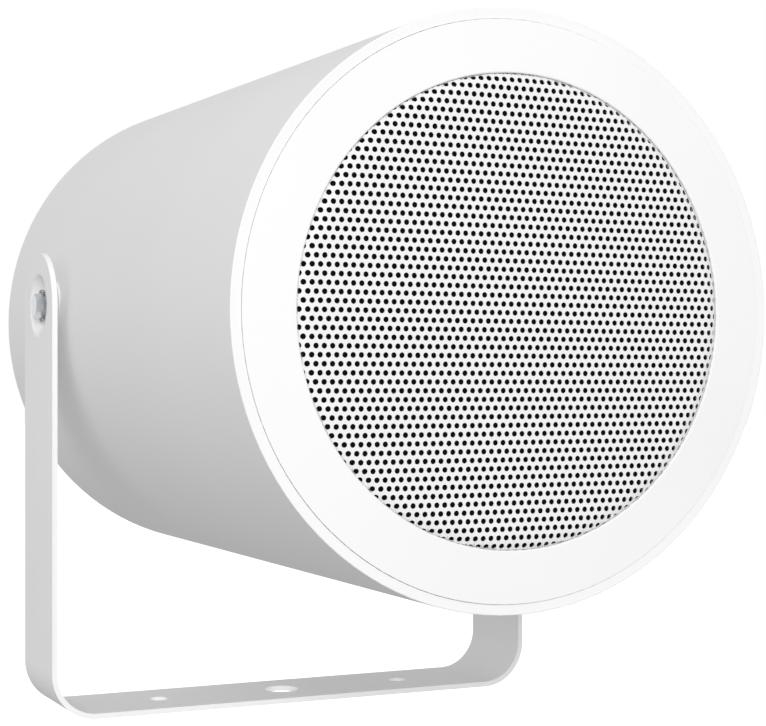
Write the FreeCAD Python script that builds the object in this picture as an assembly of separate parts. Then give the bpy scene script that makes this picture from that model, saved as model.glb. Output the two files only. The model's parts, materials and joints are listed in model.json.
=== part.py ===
import FreeCAD, Part
import math
import os

# Projection speaker: a cylinder housing that tilts on a folded strip bracket. Millimetres.
# The origin is the middle of the bracket's underside, +Z is up and the grille faces -Y.
# A depth is measured backwards from the front edge of the housing tube, along its axis.

# Housing tube
body_diameter = 140.0
body_length = 196.0
body_wall = 2.5
body_edge_round = 0.3
axis_height = 111.4
pivot_rise = 4.1
pivot_setback = 144.0
pivot_boss_diameter = 14.0
pivot_boss_length = 11.0
ring_stop_height = 2.0
ring_stop_length = 3.0
rear_ledge_height = 3.0
rear_ledge_length = 4.0
cover_boss_diameter = 8.0
cover_boss_length = 18.0
cover_boss_inset = 8.0
cover_boss_rib = 3.0

# Front ring, snapped into the tube
ring_face_width = 12.5
ring_face_step = 0.35
ring_edge_round = 0.15
ring_lip_proud = 1.3
ring_lip_round = 0.4
ring_seat_depth = 3.3
ring_skirt_depth = 20.0
ring_skirt_wall = 2.4
ring_fit = 0.1
snap_depth = 13.0
snap_length = 3.0
snap_height = 0.6
snap_clearance = 0.2

# Grille and the cloth behind it
grille_sheet = 0.5
grille_proud = 1.6
grille_gap = 0.15
grille_slope_width = 1.8
grille_slope_angle = 25.0
grille_roll_radius = 6.0
grille_rim_round = 0.9
grille_hole_pitch = 10.5
grille_hole_diameter = 6.0
cloth_thickness = 0.3
cloth_gap = 0.05

# Driver frame
driver_clearance = 0.9
gasket_thickness = 5.0
basket_sheet = 1.2
basket_depth = 24.0
basket_floor_radius = 27.0
basket_well_depth = 6.0
basket_window_angle = 56.0
basket_window_margin = 4.0
driver_screw_inset = 3.0
driver_screw_diameter = 3.0
driver_screw_head = 6.0
driver_screw_head_height = 2.0
driver_screw_bite = 2.6
screw_hole_clearance = 0.3
thread_gap = 0.05

# Moving system of the driver
surround_sheet = 0.5
surround_lip = 2.5
surround_roll_radius = 3.9
cone_wall = 0.7
cone_height = 13.5
dust_cap_radius = 17.0
dust_cap_height = 5.0
dust_cap_wall = 0.5
coil_bore_radius = 12.5
coil_former_wall = 0.3
coil_winding = 0.7
coil_winding_length = 7.5
coil_length = 21.0
coil_magnet_gap = 0.4
glue_gap = 0.05
spider_sheet = 0.5
spider_wave = 1.0
spider_wave_count = 3

# Magnet system
plate_radius = 30.0
plate_thickness = 5.0
magnet_radius = 35.0
magnet_bore_radius = 16.5
magnet_thickness = 12.0
pole_vent_radius = 3.0

# Tag board and leads of the driver
tag_board_width = 14.0
tag_board_height = 9.0
tag_board_thickness = 1.5
tag_board_clearance = 6.0
tag_spacing = 6.0
tag_width = 3.0
tag_thickness = 0.8
tag_length = 6.0
lead_diameter = 1.6
lead_bend_share = 0.45

# Line transformer, on the rear cover
core_width = 41.0
core_length = 34.0
core_stack = 16.0
core_leg = 7.0
core_rise = 22.0
coil_overhang = 6.5
coil_clearance = 0.2
coil_flange = 1.2
coil_flange_step = 0.8
strap_thickness = 0.9
strap_width = 12.0
strap_foot = 12.0
strap_bend_radius = 1.0
strap_screw_diameter = 3.0
strap_screw_head = 5.6
strap_screw_head_height = 2.0
strap_boss_diameter = 8.0
strap_boss_height = 5.0

# Terminal block, on the rear cover
block_width = 30.0
block_height = 16.0
block_depth = 14.0
block_rise = -8.0
block_pad_height = 4.0
block_pole_spacing = 18.0
clamp_radius = 2.6
clamp_bore_radius = 1.6
clamp_screw_diameter = 2.4
clamp_screw_spacing = 8.0
clamp_fit = 0.05
block_screw_diameter = 3.0
block_screw_head = 5.6
block_screw_head_height = 2.0

# Rear cover
cover_thickness = 3.0
cover_gap = 0.25
cover_screw_diameter = 3.5
cover_screw_head = 6.6
cover_screw_head_height = 2.2
cover_screw_bite = 12.0
cover_skin = 1.5
rear_seal_thickness = 2.0
rear_seal_gap = 0.2

# Cable gland in the rear cover
gland_inset = 29.5
gland_thread_diameter = 16.0
gland_bore_diameter = 10.0
gland_flats = 22.0
gland_hex_length = 5.0
gland_washer_thickness = 1.5
gland_spigot_length = 9.0
gland_locknut_length = 5.0
gland_neck_length = 9.0
gland_nut_length = 17.0
gland_nut_hex_length = 9.0
gland_dome_round = 6.4
gland_mouth_diameter = 8.0
gland_seal_length = 8.0
gland_fit = 0.05

# Bracket
strip_width = 30.0
strip_thickness = 1.5
bend_radius = 11.5
dimple_diameter = 17.8
dimple_floor_diameter = 11.6
dimple_depth = 2.2
dimple_round = 0.8
centre_hole_diameter = 10.4
side_hole_diameter = 5.4
side_hole_spacing = 77.0

# Pivot fasteners
pivot_diameter = 3.5
pivot_running_gap = 0.06
pivot_bolt_flats = 6.0
pivot_bolt_head_height = 2.1
pivot_bolt_chamfer = 0.3
pivot_bolt_bite = 7.5
friction_washer_diameter = 12.0
friction_washer_thickness = 0.5
plain_washer_diameter = 8.0
plain_washer_thickness = 0.8
lock_washer_diameter = 9.3
lock_washer_thickness = 0.6
lock_washer_teeth = 8
lock_washer_tooth_depth = 1.2
insert_diameter = 5.6
insert_length = 8.0

# Radii, from the outside of the tube inwards
body_radius = body_diameter / 2
bore_radius = body_radius - body_wall
skirt_radius = bore_radius - ring_fit
skirt_bore = skirt_radius - ring_skirt_wall
opening_radius = skirt_radius - ring_face_width
grille_wall_radius = opening_radius - grille_gap
basket_radius = skirt_bore - driver_clearance
driver_screw_circle = basket_radius - driver_screw_inset
driver_hole_radius = driver_screw_diameter / 2 + screw_hole_clearance
grille_brim_radius = driver_screw_circle - driver_hole_radius - screw_hole_clearance
surround_radius = grille_brim_radius
surround_roll_outer = surround_radius - surround_lip
surround_roll_inner = surround_roll_outer - 2 * surround_roll_radius
cone_radius = surround_roll_inner
cone_slope_radius = cone_radius - surround_lip
coil_outer_radius = coil_bore_radius + coil_former_wall
winding_radius = coil_outer_radius + coil_winding
spider_ledge_radius = basket_floor_radius + basket_well_depth
tag_board_radius = magnet_radius + tag_board_clearance
gland_rise = gland_inset - bore_radius

# Depths, from the front backwards
brim_depth = ring_seat_depth - grille_sheet
flange_depth = ring_seat_depth + gasket_thickness
cone_edge_depth = flange_depth + surround_sheet
flange_rear = cone_edge_depth + basket_sheet
spider_depth = cone_edge_depth + basket_depth - basket_well_depth
basket_floor_depth = cone_edge_depth + basket_depth
plate_depth = basket_floor_depth + basket_sheet
magnet_depth = plate_depth + plate_thickness
yoke_depth = magnet_depth + magnet_thickness
coil_start = cone_edge_depth + cone_height - cone_wall
coil_end = coil_start + coil_length
cover_depth = body_length - cover_thickness
rear_ledge_depth = cover_depth - rear_seal_thickness
strap_foot_depth = cover_depth - strap_boss_height
core_depth = strap_foot_depth - core_length
coil_flange_depth = core_depth + core_leg + coil_clearance
block_pad_depth = cover_depth - block_pad_height
cover_boss_circle = bore_radius - cover_boss_inset
gland_hex_depth = body_length + gland_washer_thickness
gland_neck_depth = gland_hex_depth + gland_hex_length

# Bracket planes and heights
arm_inner = body_radius + friction_washer_thickness + dimple_depth
arm_outer = arm_inner + strip_thickness
pivot_height = axis_height + pivot_rise
dimple_floor = arm_outer - dimple_depth
washer_stack = plain_washer_thickness + lock_washer_thickness
pivot_hole_diameter = pivot_diameter + 2 * pivot_running_gap

X = FreeCAD.Vector(1, 0, 0)
Y = FreeCAD.Vector(0, 1, 0)
Z = FreeCAD.Vector(0, 0, 1)
screw_angles = [45, 135, 225, 315]


def at(x, depth, rise):
    """Point at an offset to the right, a depth behind the front edge and a rise over the body axis."""
    return FreeCAD.Vector(x, depth - pivot_setback, axis_height + rise)


def rounded_face(corners, place):
    """Flat face inside (u, v, round) corners, where a round of 0 leaves a corner sharp."""
    points = [place(u, v) for u, v, corner_round in corners]
    starts = []
    ends = []
    arcs = []
    for i, (u, v, corner_round) in enumerate(corners):
        to_last = (points[i - 1] - points[i]).normalize()
        to_next = (points[(i + 1) % len(points)] - points[i]).normalize()
        half_angle = to_last.getAngle(to_next) / 2
        cut_back = corner_round / math.tan(half_angle)
        starts.append(points[i] + to_last * cut_back)
        ends.append(points[i] + to_next * cut_back)
        arcs.append(None)
        if corner_round > 0:
            reach = corner_round / math.sin(half_angle) - corner_round
            middle = points[i] + (to_last + to_next).normalize() * reach
            arcs[i] = Part.Arc(starts[i], middle, ends[i]).toShape()
    edges = []
    for i, arc in enumerate(arcs):
        if arc:
            edges.append(arc)
        following = starts[(i + 1) % len(starts)]
        if ends[i].distanceToPoint(following) > 1e-6:
            edges.append(Part.makeLine(ends[i], following))
    return Part.Face(Part.Wire(edges))


def lathe(corners):
    """Solid turned about Z from (radius, height, round) corners."""
    face = rounded_face(corners, lambda radius, height: FreeCAD.Vector(radius, 0, height))
    return face.revolve(FreeCAD.Vector(), Z, 360)


def rod(diameter, length):
    """Cylinder that stands on the origin along Z."""
    return Part.makeCylinder(diameter / 2, length)


def collar(diameter, bore, length):
    """Plain ring that stands on the origin along Z."""
    return rod(diameter, length).cut(rod(bore, length))


def hex_bar(flats, length, first_corner=30):
    """Six-sided bar that stands on the origin along Z, with a corner at an angle from X."""
    reach = flats / math.sqrt(3)
    angles = [math.radians(first_corner + 60 * i) for i in range(7)]
    points = [FreeCAD.Vector(reach * math.cos(a), reach * math.sin(a), 0) for a in angles]
    return Part.Face(Part.makePolygon(points)).extrude(Z * length)


def pan_screw(head, head_height, shank, length):
    """Screw whose shank points along Z, with its head behind the origin."""
    cap = lathe([
        (0, -head_height, 0),
        (head / 2, -head_height, head_height / 2),
        (head / 2, 0, 0),
        (0, 0, 0),
    ])
    return cap.fuse(rod(shank, length)).removeSplitter()


def seat(shape, point, direction):
    """Stand a shape that was made along Z on a point, turned to a direction."""
    seated = shape.copy()
    seated.Placement = FreeCAD.Placement(point, FreeCAD.Rotation(Z, direction))
    return seated


def on_axis(shape):
    """Lay a shape that was made along Z on the body axis, where its heights become depths."""
    return seat(shape, at(0, 0, 0), Y)


def spun(shape, angles):
    """Copies of a shape turned about the body axis."""
    return [shape.rotated(at(0, 0, 0), Y, angle) for angle in angles]


def block(width, height, start, end, x, rise):
    """Box between two depths, centred on an offset and a rise."""
    return Part.makeBox(width, end - start, height, at(x - width / 2, start, rise - height / 2))


def on_both_sides(shape, reach):
    """Two copies of a shape made along Z, standing outwards on the pivot axis at a reach."""
    return [seat(shape, at(side * reach, pivot_setback, pivot_rise), X * side) for side in (-1, 1)]


def housing_tube():
    """Moulded tube with the ring's stop and snap groove, pivot bosses and the rear cover's seat."""
    groove_radius = skirt_radius + snap_height + snap_clearance
    groove_half = snap_length / 2 + snap_clearance
    stop_end = ring_skirt_depth + ring_stop_length
    ledge_start = rear_ledge_depth - rear_ledge_length
    shell = on_axis(lathe([
        (body_radius, 0, body_edge_round),
        (body_radius, body_length, body_edge_round),
        (bore_radius, body_length, 0),
        (bore_radius, rear_ledge_depth, 0),
        (bore_radius - rear_ledge_height, rear_ledge_depth, 0),
        (bore_radius - rear_ledge_height, ledge_start, 0),
        (bore_radius, ledge_start - rear_ledge_height, 0),
        (bore_radius, stop_end + ring_stop_height, 0),
        (bore_radius - ring_stop_height, stop_end, 0),
        (bore_radius - ring_stop_height, ring_skirt_depth, 0),
        (bore_radius, ring_skirt_depth, 0),
        (bore_radius, snap_depth + groove_half, 0),
        (groove_radius, snap_depth + groove_half, 0),
        (groove_radius, snap_depth - groove_half, 0),
        (bore_radius, snap_depth - groove_half, 0),
        (bore_radius, 0, 0),
    ]))
    boss_start = cover_depth - cover_boss_length
    boss = seat(rod(cover_boss_diameter, cover_boss_length), at(cover_boss_circle, boss_start, 0), Y)
    rib_reach = cover_boss_inset + body_wall / 2
    rib_length = ledge_start - boss_start
    rib_corner = at(cover_boss_circle, boss_start, -cover_boss_rib / 2)
    rib = Part.makeBox(rib_reach, rib_length, cover_boss_rib, rib_corner)
    pilot_length = cover_screw_bite + cover_screw_head_height
    pilot = rod(cover_screw_diameter + 2 * thread_gap, pilot_length)
    pilot = seat(pilot, at(cover_boss_circle, cover_depth, 0), -Y)
    pivot_bosses = on_both_sides(rod(pivot_boss_diameter, pivot_boss_length), body_radius - pivot_boss_length)
    insert_holes = on_both_sides(rod(insert_diameter, insert_length), body_radius - insert_length)
    solid = shell.fuse(spun(boss, screw_angles) + spun(rib, screw_angles) + pivot_bosses)
    return solid.cut(spun(pilot, screw_angles) + insert_holes).removeSplitter()


def front_ring():
    """Coned ring with a raised inner lip, a seat for the grille and driver, and a snap-in skirt."""
    snap_half = snap_length / 2
    snap_radius = skirt_radius + snap_height
    ring = on_axis(lathe([
        (skirt_radius, -ring_face_step, ring_edge_round),
        (opening_radius, -ring_lip_proud, ring_lip_round),
        (opening_radius, brim_depth, 0),
        (grille_brim_radius + grille_gap, brim_depth, 0),
        (grille_brim_radius + grille_gap, ring_seat_depth, 0),
        (skirt_bore, ring_seat_depth, 0),
        (skirt_bore, ring_skirt_depth, 0),
        (skirt_radius, ring_skirt_depth, 0),
        (skirt_radius, snap_depth + snap_half, 0),
        (snap_radius, snap_depth + snap_half - snap_height, 0),
        (snap_radius, snap_depth - snap_half + snap_height, 0),
        (skirt_radius, snap_depth - snap_half, 0),
    ]))
    pilot = rod(driver_screw_diameter + 2 * thread_gap, driver_screw_bite)
    pilot = seat(pilot, at(driver_screw_circle, ring_seat_depth, 0), -Y)
    return ring.cut(spun(pilot, screw_angles))


def dish_corners(inset):
    """Corners of the grille's dish, moved inwards from its outer skin: middle, slope start, slope end."""
    slope = math.radians(grille_slope_angle)
    slope_radius = grille_wall_radius - grille_slope_width - inset * math.tan(slope / 2)
    slope_drop = grille_slope_width * math.tan(slope)
    rim_turn = math.pi / 2 - slope
    rim_depth = slope_drop - grille_proud + inset * math.tan(rim_turn / 2)
    return [
        (0, inset - grille_proud, 0),
        (slope_radius, inset - grille_proud, grille_roll_radius - inset),
        (grille_wall_radius - inset, rim_depth, 0),
    ]


def grille():
    """Dished sheet with a brim behind the ring's lip and staggered rows of round holes."""
    outer = dish_corners(0)
    outer[2] = (*outer[2][:2], grille_rim_round)
    brim = [
        (grille_wall_radius, brim_depth, 0),
        (grille_brim_radius, brim_depth, 0),
        (grille_brim_radius, ring_seat_depth, 0),
        (grille_wall_radius - grille_sheet, ring_seat_depth, 0),
    ]
    inner = dish_corners(grille_sheet)
    sheet = on_axis(lathe(outer + brim + inner[::-1]))
    slope = math.radians(grille_slope_angle)
    flat_radius = outer[1][0] - grille_roll_radius * math.tan(slope / 2)
    hole_limit = flat_radius - grille_hole_diameter / 2
    rows = int(hole_limit / grille_hole_pitch)
    holes = []
    for row in range(-rows, rows + 1):
        stagger = grille_hole_pitch / 2 * (row % 2)
        for column in range(-rows - 1, rows + 1):
            x = column * grille_hole_pitch + stagger
            rise = row * grille_hole_pitch
            if math.hypot(x, rise) < hole_limit:
                hole = rod(grille_hole_diameter, 2 * grille_sheet)
                holes.append(seat(hole, at(x, -grille_proud - grille_sheet / 2, rise), Y))
    return sheet.cut(holes)


def grille_cloth():
    """Thin dished cloth that lies against the back of the grille."""
    front = dish_corners(grille_sheet + cloth_gap)
    back = dish_corners(grille_sheet + cloth_gap + cloth_thickness)
    return on_axis(lathe(front + back[::-1]))


def driver_gasket():
    """Foam ring that clamps the grille's brim and seals the driver to the ring."""
    foam = collar(2 * basket_radius, 2 * surround_roll_outer, gasket_thickness)
    foam = seat(foam, at(0, ring_seat_depth, 0), Y)
    hole = seat(rod(2 * driver_hole_radius, gasket_thickness), at(driver_screw_circle, ring_seat_depth, 0), Y)
    return foam.cut(spun(hole, screw_angles))


def driver_basket():
    """Pressed steel frame: flange, windowed cone, spider ledge, and the well that holds the top plate."""
    ledge_radius = spider_ledge_radius
    rim_radius = surround_roll_outer
    rear = basket_floor_depth + basket_sheet
    frame = on_axis(lathe([
        (basket_radius, flange_depth, 0),
        (surround_radius + glue_gap, flange_depth, 0),
        (surround_radius + glue_gap, cone_edge_depth, 0),
        (rim_radius, cone_edge_depth, 0),
        (ledge_radius, spider_depth, 0),
        (basket_floor_radius, spider_depth, 0),
        (basket_floor_radius, basket_floor_depth, 0),
        (magnet_bore_radius, basket_floor_depth, 0),
        (magnet_bore_radius, rear, 0),
        (basket_floor_radius + basket_sheet, rear, 0),
        (basket_floor_radius + basket_sheet, spider_depth + basket_sheet, 0),
        (ledge_radius + basket_sheet / 2, spider_depth + basket_sheet, 0),
        (rim_radius + basket_sheet, flange_rear, 0),
        (basket_radius, flange_rear, 0),
    ]))
    window_inner = ledge_radius + basket_window_margin
    window_outer = rim_radius - basket_window_margin
    window_height = spider_depth + basket_sheet - flange_depth
    sector = Part.makeCylinder(window_outer, window_height, Z * flange_depth, Z, basket_window_angle)
    sector = sector.cut(Part.makeCylinder(window_inner, window_height, Z * flange_depth))
    window_angles = [angle - basket_window_angle / 2 for angle in screw_angles]
    hole = rod(2 * driver_hole_radius, flange_rear - flange_depth)
    hole = seat(hole, at(driver_screw_circle, flange_depth, 0), Y)
    pad = block(tag_board_width, tag_board_height, flange_rear, tag_pad_depth(), 0, tag_board_radius)
    inside_wall = basket_sheet / 2
    pad = pad.cut(on_axis(lathe([
        (0, flange_depth, 0),
        (rim_radius, cone_edge_depth + inside_wall, 0),
        (ledge_radius, spider_depth + inside_wall, 0),
        (0, spider_depth + inside_wall, 0),
    ])))
    cuts = spun(on_axis(sector), window_angles) + spun(hole, screw_angles)
    return frame.cut(cuts).fuse(pad).removeSplitter()


def tag_pad_depth():
    """Depth of the flat pad on the basket's back, level with the basket at the pad's inner edge."""
    inner_edge = tag_board_radius - tag_board_height / 2
    share = (surround_roll_outer - inner_edge) / (surround_roll_outer - spider_ledge_radius)
    return cone_edge_depth + share * (spider_depth - cone_edge_depth) + 2 * basket_sheet


def driver_screws():
    """Screws that clamp basket, gasket and grille to the front ring."""
    length = flange_rear - ring_seat_depth + driver_screw_bite - thread_gap
    screw = pan_screw(driver_screw_head, driver_screw_head_height, driver_screw_diameter, length)
    return Part.makeCompound(spun(seat(screw, at(driver_screw_circle, flange_rear, 0), -Y), screw_angles))


def surround():
    """Half-roll of cloth between the basket's rim and the cone's edge."""
    roll = surround_roll_radius
    inner_roll = roll - surround_sheet
    crown = flange_depth - roll
    return on_axis(lathe([
        (surround_radius, flange_depth, 0),
        (surround_roll_outer, flange_depth, 0),
        (surround_roll_outer, crown, roll),
        (surround_roll_inner, crown, roll),
        (surround_roll_inner, flange_depth, 0),
        (surround_roll_inner - surround_lip, flange_depth, 0),
        (surround_roll_inner - surround_lip, cone_edge_depth, 0),
        (surround_roll_inner + surround_sheet, cone_edge_depth, 0),
        (surround_roll_inner + surround_sheet, crown + surround_sheet, inner_roll),
        (surround_roll_outer - surround_sheet, crown + surround_sheet, inner_roll),
        (surround_roll_outer - surround_sheet, cone_edge_depth, 0),
        (surround_radius, cone_edge_depth, 0),
    ]))


def cone():
    """Paper cone with a flat glued edge and a neck on the voice coil."""
    neck = coil_outer_radius + glue_gap
    return on_axis(lathe([
        (cone_radius, cone_edge_depth, 0),
        (cone_slope_radius, cone_edge_depth, 0),
        (neck, cone_edge_depth + cone_height, 0),
        (neck, cone_edge_depth + cone_height + cone_wall, 0),
        (cone_slope_radius, cone_edge_depth + cone_wall, 0),
        (cone_radius, cone_edge_depth + cone_wall, 0),
    ]))


def dust_cap():
    """Domed cap over the voice coil, glued to the cone."""
    slope_share = (cone_slope_radius - dust_cap_radius) / (cone_slope_radius - coil_outer_radius)
    rim_depth = cone_edge_depth + slope_share * cone_height
    dome_radius = (dust_cap_radius ** 2 + dust_cap_height ** 2) / (2 * dust_cap_height)
    centre_depth = rim_depth - dust_cap_height + dome_radius
    outer = dome_corners(dome_radius, centre_depth, rim_depth)
    inner = dome_corners(dome_radius - dust_cap_wall, centre_depth, rim_depth)
    return on_axis(lathe(outer + inner[::-1]))


def dome_corners(radius, centre_depth, rim_depth):
    """Corners of a dome's section: crown, the point where its end tangents meet, and rim."""
    crown_depth = centre_depth - radius
    half_angle = math.acos((centre_depth - rim_depth) / radius) / 2
    return [
        (0, crown_depth, 0),
        (radius * math.tan(half_angle), crown_depth, radius),
        (radius * math.sin(2 * half_angle), rim_depth, 0),
    ]


def voice_coil():
    """Former with its winding at the magnet's end."""
    winding_start = coil_end - coil_winding_length
    return on_axis(lathe([
        (coil_bore_radius, coil_start, 0),
        (coil_outer_radius, coil_start, 0),
        (coil_outer_radius, winding_start, 0),
        (winding_radius, winding_start, 0),
        (winding_radius, coil_end, 0),
        (coil_bore_radius, coil_end, 0),
    ]))


def spider():
    """Corrugated cloth disc that centres the voice coil on the basket's ledge."""
    start = coil_outer_radius + glue_gap
    step = (basket_floor_radius - start) / (2 * spider_wave_count + 1)
    front = spider_depth - spider_sheet
    waves = [(start, 0)]
    for i in range(2 * spider_wave_count):
        waves.append((start + step * (i + 1), spider_wave * (-1) ** i))
    waves.append((basket_floor_radius, 0))
    waves.append((spider_ledge_radius - spider_sheet, 0))
    face = [(radius, front - offset, 0) for radius, offset in waves]
    back = [(radius, spider_depth - offset, 0) for radius, offset in reversed(waves)]
    return on_axis(lathe(face + back))


def top_plate():
    """Front plate of the magnet, round the voice coil's gap."""
    bore = 2 * (winding_radius + coil_magnet_gap)
    return seat(collar(2 * plate_radius, bore, plate_thickness), at(0, plate_depth, 0), Y)


def magnet():
    """Ferrite ring."""
    ring = collar(2 * magnet_radius, 2 * magnet_bore_radius, magnet_thickness)
    return seat(ring, at(0, magnet_depth, 0), Y)


def pole_yoke():
    """Back plate with a vented pole inside the voice coil."""
    pole_radius = coil_bore_radius - coil_magnet_gap
    rear = yoke_depth + plate_thickness
    return on_axis(lathe([
        (pole_vent_radius, plate_depth, 0),
        (pole_radius, plate_depth, 0),
        (pole_radius, yoke_depth, 0),
        (plate_radius, yoke_depth, 0),
        (plate_radius, rear, 0),
        (pole_vent_radius, rear, 0),
    ]))


def tag_board():
    """Insulating board on the basket's pad."""
    start = tag_pad_depth()
    return block(tag_board_width, tag_board_height, start, start + tag_board_thickness, 0, tag_board_radius)


def solder_tags():
    """Two tags that stand on the tag board."""
    start = tag_pad_depth() + tag_board_thickness
    places = (-tag_spacing / 2, tag_spacing / 2)
    tags = [block(tag_width, tag_thickness, start, start + tag_length, x, tag_board_radius) for x in places]
    return Part.makeCompound(tags)


def driver_leads():
    """Two leads from the solder tags to the transformer coil's front flange, in one gentle S bend."""
    start = tag_pad_depth() + tag_board_thickness + tag_length
    end = coil_flange_depth
    end_rise = core_rise + core_stack / 2 + coil_overhang / 2
    third = (end - start) / 3
    leads = []
    for x in (-tag_spacing / 2, tag_spacing / 2):
        first = at(x, start, tag_board_radius)
        bend_one = at(x, start + third, tag_board_radius)
        bend_two = at(x, end - third, end_rise)
        last = at(x, end, end_rise)
        leads.append(wire_solid([first, bend_one, bend_two, last]))
    return Part.makeCompound(leads)


def wire_solid(points):
    """Round lead along straight runs joined by arcs as large as the runs allow."""
    edges = []
    run_start = points[0]
    for i in range(1, len(points) - 1):
        back = points[i - 1] - points[i]
        ahead = points[i + 1] - points[i]
        cut_back = lead_bend_share * min(back.Length, ahead.Length)
        half_angle = back.getAngle(ahead) / 2
        radius = cut_back * math.tan(half_angle)
        arc_start = points[i] + back.normalize() * cut_back
        arc_end = points[i] + ahead.normalize() * cut_back
        reach = radius / math.sin(half_angle) - radius
        middle = points[i] + (back + ahead).normalize() * reach
        edges.append(Part.makeLine(run_start, arc_start))
        edges.append(Part.Arc(arc_start, middle, arc_end).toShape())
        run_start = arc_end
    edges.append(Part.makeLine(run_start, points[-1]))
    circle = Part.Wire(Part.makeCircle(lead_diameter / 2, points[0], Y))
    return Part.Wire(edges).makePipeShell([circle], True, False)


def transformer_core():
    """Stack of laminations with a window each side of the centre leg."""
    body = block(core_width, core_stack, core_depth, strap_foot_depth, 0, core_rise)
    window_width = (core_width - 4 * core_leg) / 2
    window_middle = core_leg + window_width / 2
    windows = []
    for x in (-window_middle, window_middle):
        start = core_depth + core_leg
        windows.append(block(window_width, core_stack, start, strap_foot_depth - core_leg, x, core_rise))
    return body.cut(windows)


def transformer_coil():
    """Bobbin with its winding, round the core's centre leg."""
    start = coil_flange_depth
    end = strap_foot_depth - core_leg - coil_clearance
    width = core_width - 2 * core_leg - 2 * coil_clearance
    height = core_stack + 2 * coil_overhang
    step = 2 * coil_flange_step
    winding = block(width - step, height - step, start, end, 0, core_rise)
    front = block(width, height, start, start + coil_flange, 0, core_rise)
    rear = block(width, height, end - coil_flange, end, 0, core_rise)
    leg_width = 2 * (core_leg + coil_clearance)
    leg = block(leg_width, core_stack + 2 * coil_clearance, start, end, 0, core_rise)
    return winding.fuse([front, rear]).cut(leg).removeSplitter()


def transformer_strap():
    """Steel strap bent round the core, with a foot each side on the rear cover's bosses."""
    half = core_width / 2
    outer = half + strap_thickness
    front = core_depth - strap_thickness
    foot = strap_foot_depth
    lap = foot - strap_thickness
    tip = outer + strap_foot
    outer_round = strap_bend_radius + strap_thickness
    face = rounded_face([
        (-tip, lap, 0),
        (-outer, lap, strap_bend_radius),
        (-outer, front, outer_round),
        (outer, front, outer_round),
        (outer, lap, strap_bend_radius),
        (tip, lap, 0),
        (tip, foot, 0),
        (half, foot, outer_round),
        (half, core_depth, 0),
        (-half, core_depth, 0),
        (-half, foot, outer_round),
        (-tip, foot, 0),
    ], lambda x, depth: at(x, depth, core_rise - strap_width / 2))
    strap = face.extrude(Z * strap_width)
    hole = rod(strap_screw_diameter + 2 * screw_hole_clearance, strap_thickness)
    holes = [seat(hole, at(x, lap, core_rise), Y) for x in strap_screw_places()]
    return strap.cut(holes)


def strap_screw_places():
    """Offsets of the strap's two screws."""
    reach = core_width / 2 + strap_thickness + strap_foot / 2
    return (-reach, reach)


def transformer_screws():
    """Screws that hold the strap's feet to the rear cover."""
    length = strap_thickness + strap_boss_height + cover_thickness - cover_skin - thread_gap
    screw = pan_screw(strap_screw_head, strap_screw_head_height, strap_screw_diameter, length)
    start = strap_foot_depth - strap_thickness
    return Part.makeCompound([seat(screw, at(x, start, core_rise), Y) for x in strap_screw_places()])


def terminal_block():
    """Ceramic block with two wire ways, their clamp screw holes and a fixing hole."""
    body = block(block_width, block_height, block_pad_depth - block_depth, block_pad_depth, 0, block_rise)
    screw_holes = clamp_screw_rods(block_depth / 2, thread_gap)
    return body.cut(clamp_rods(clamp_radius) + screw_holes + [fixing_hole()])


def fixing_hole():
    """Hole for the terminal block's fixing screw."""
    hole = rod(block_screw_diameter + 2 * screw_hole_clearance, block_depth)
    return seat(hole, at(0, block_pad_depth - block_depth, block_rise), Y)


def clamp_rods(radius):
    """Upright cylinders along the terminal block's two wire ways."""
    rods = []
    for x in (-block_pole_spacing / 2, block_pole_spacing / 2):
        foot = at(x, block_pad_depth - block_depth / 2, block_rise - block_height / 2)
        rods.append(Part.makeCylinder(radius, block_height, foot, Z))
    return rods


def clamp_screw_rods(length, gap):
    """Cylinders of the clamp screws, from the block's face inwards, with a gap round them."""
    rods = []
    for x in (-block_pole_spacing / 2, block_pole_spacing / 2):
        for rise in (-clamp_screw_spacing / 2, clamp_screw_spacing / 2):
            face = at(x, block_pad_depth - block_depth, block_rise + rise)
            rods.append(seat(rod(clamp_screw_diameter + 2 * gap, length), face, Y))
    return rods


def terminal_clamps():
    """Brass tubes in the terminal block's wire ways, drilled for their screws."""
    sleeves = clamp_rods(clamp_radius - clamp_fit)
    bores = clamp_rods(clamp_bore_radius)
    screw_holes = clamp_screw_rods(block_depth / 2, thread_gap)
    return Part.makeCompound([sleeve.cut([bore] + screw_holes) for sleeve, bore in zip(sleeves, bores)])


def clamp_screws():
    """Headless screws that press a wire against the clamp's far wall."""
    return Part.makeCompound(clamp_screw_rods(block_depth / 2, 0))


def block_screw():
    """Screw that holds the terminal block to the rear cover."""
    length = block_depth + block_pad_height + cover_thickness - cover_skin - thread_gap
    screw = pan_screw(block_screw_head, block_screw_head_height, block_screw_diameter, length)
    return seat(screw, at(0, block_pad_depth - block_depth, block_rise), Y)


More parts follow.
